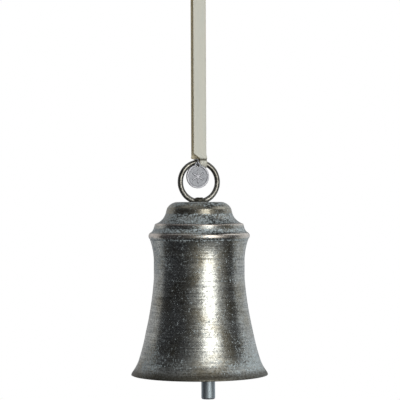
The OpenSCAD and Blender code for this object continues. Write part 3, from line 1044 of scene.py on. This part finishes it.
FLOOR_Z = -0.32
FLOOR_R = 1.2
FLOOR_FADE = (0.30, 0.85)  # the floor fades out between these distances from its middle
FLOOR_GLOW = 0.45  # the floor's own light, which keeps it pale from every side
FLOOR_DARK, FLOOR_BRIGHT = (0.86, 0.86, 0.86), (0.90, 0.90, 0.89)
KEY_TURN = 25  # the key light's place to the right of the camera, in degrees
DIM_STUDIO = (0.052, 0.054, 0.060)
GLOW = (1.0, 1.0, 0.96)
GLOW_FALL = 6  # the higher, the narrower the glow around the key light
WHITE = (1.0, 1.0, 1.0)
WARM, COOL, COOLER, SKY = (1.0, 0.995, 0.97), (0.98, 0.99, 1.0), (0.93, 0.97, 1.0), (0.97, 0.99, 1.0)
# Soft panels: name, turn, rise, distance, size, power and colour
LIGHTS = (("key_strip", KEY_TURN, 10, 1.1, (0.50, 1.05), 5.8, WARM),
          ("backdrop_left", -134, 0, 1.3, (1.55, 2.0), 5.2, COOL),
          ("backdrop_right", 131, 0, 1.3, (1.6, 2.0), 7.0, COOLER),
          ("backdrop_rear", 180, 0, 1.4, (0.6, 2.0), 1.8, WHITE),
          ("overhead", 98, 42, 1.3, (0.9, 0.6), 1.7, SKY),
          ("ceiling", -60, 74, 1.4, (1.5, 1.2), 2.1, SKY))


def make_floor():
    """A pale floor that fades out into the pale surroundings."""
    build = bmesh.new()
    bmesh.ops.create_circle(build, cap_ends=True, segments=96, radius=FLOOR_R)
    mesh = bpy.data.meshes.new("floor")
    build.to_mesh(mesh)
    build.free()
    floor = bpy.data.objects.new("floor", mesh)
    floor.location.z = FLOOR_Z
    # Neither the metal's reflections nor its shading take in the floor, as in a dark studio
    floor.visible_glossy = False
    floor.visible_diffuse = False
    bpy.context.scene.collection.objects.link(floor)
    look = Look("floor")
    away = look.add("VectorMath", "Value", inputs={0: look.add("TexCoord", "Object")}, operation="LENGTH")
    grain = look.noise(look.place(), 0.02, detail=3)
    colour = look.mix(look.ramp(grain, 0.3, 0.7), FLOOR_DARK, FLOOR_BRIGHT)
    # It fades out with distance, and is not there at all from below
    above = look.math("SUBTRACT", 1.0, look.add("NewGeometry", "Backfacing"))
    look.set(Base_Color=colour, Roughness=0.9, Emission_Color=WHITE, Emission_Strength=FLOOR_GLOW,
             Alpha=look.times(above, look.ramp(away, *FLOOR_FADE, 1.0, 0.0)))
    mesh.materials.append(look.material)


def level_way(turn):
    """The level direction that is turn degrees to the right of the camera, from the bell."""
    turn = math.radians(turn)
    return TO_CAMERA * math.cos(turn) + TO_RIGHT * math.sin(turn)


def make_surroundings():
    """White to the camera. To everything else it is a dim studio with a soft glow around the key light."""
    world = bpy.data.worlds.new("studio")
    nodes = Nodes(world)
    coords = nodes.add("TexCoord", "Generated")
    facing = nodes.add("VectorMath", "Value", inputs={0: coords, 1: level_way(KEY_TURN)},
                       operation="DOT_PRODUCT")
    glow = nodes.math("POWER", nodes.math("MAXIMUM", facing), GLOW_FALL)
    studio = nodes.mix(glow, DIM_STUDIO, GLOW)
    colour = nodes.mix(nodes.add("LightPath", "Is Camera Ray"), studio, WHITE)
    nodes.put(nodes.tree.nodes["Background"].inputs["Color"], colour)
    bpy.context.scene.world = world


def make_light(name, turn, rise, distance, size, power, colour):
    """A soft panel that faces the bell, turn degrees to the right of the camera and rise above level."""
    data = bpy.data.lights.new(name, "AREA")
    data.shape = "RECTANGLE"
    data.size, data.size_y = size
    data.energy = power
    data.color = colour
    light = bpy.data.objects.new(name, data)
    rise = math.radians(rise)
    way = level_way(turn) * math.cos(rise) + Z_WAY * math.sin(rise)
    aim = Vector((0, 0, CAMERA_HEIGHT - 0.03))
    light.matrix_world = (Matrix.Translation(aim + way * distance)
                          @ way.to_track_quat("Z", "Y").to_matrix().to_4x4())
    light.visible_camera = False
    bpy.context.scene.collection.objects.link(light)


# ---- the scene

make_camera()
ribbon, route, ribbon_length = make_ribbon()
stitches = make_stitches()

make_bell()
make_ring()
make_braze()
WIRE = wire_look()
make_hook(WIRE)
make_link(WIRE)
make_eye(WIRE)
make_rod()
CHARM_METAL = charm_look()
make_jump_ring(CHARM_METAL)
make_charm(CHARM_METAL)

make_floor()
make_surroundings()
for light in LIGHTS:
    make_light(*light)
bpy.context.scene.view_settings.view_transform = "Standard"
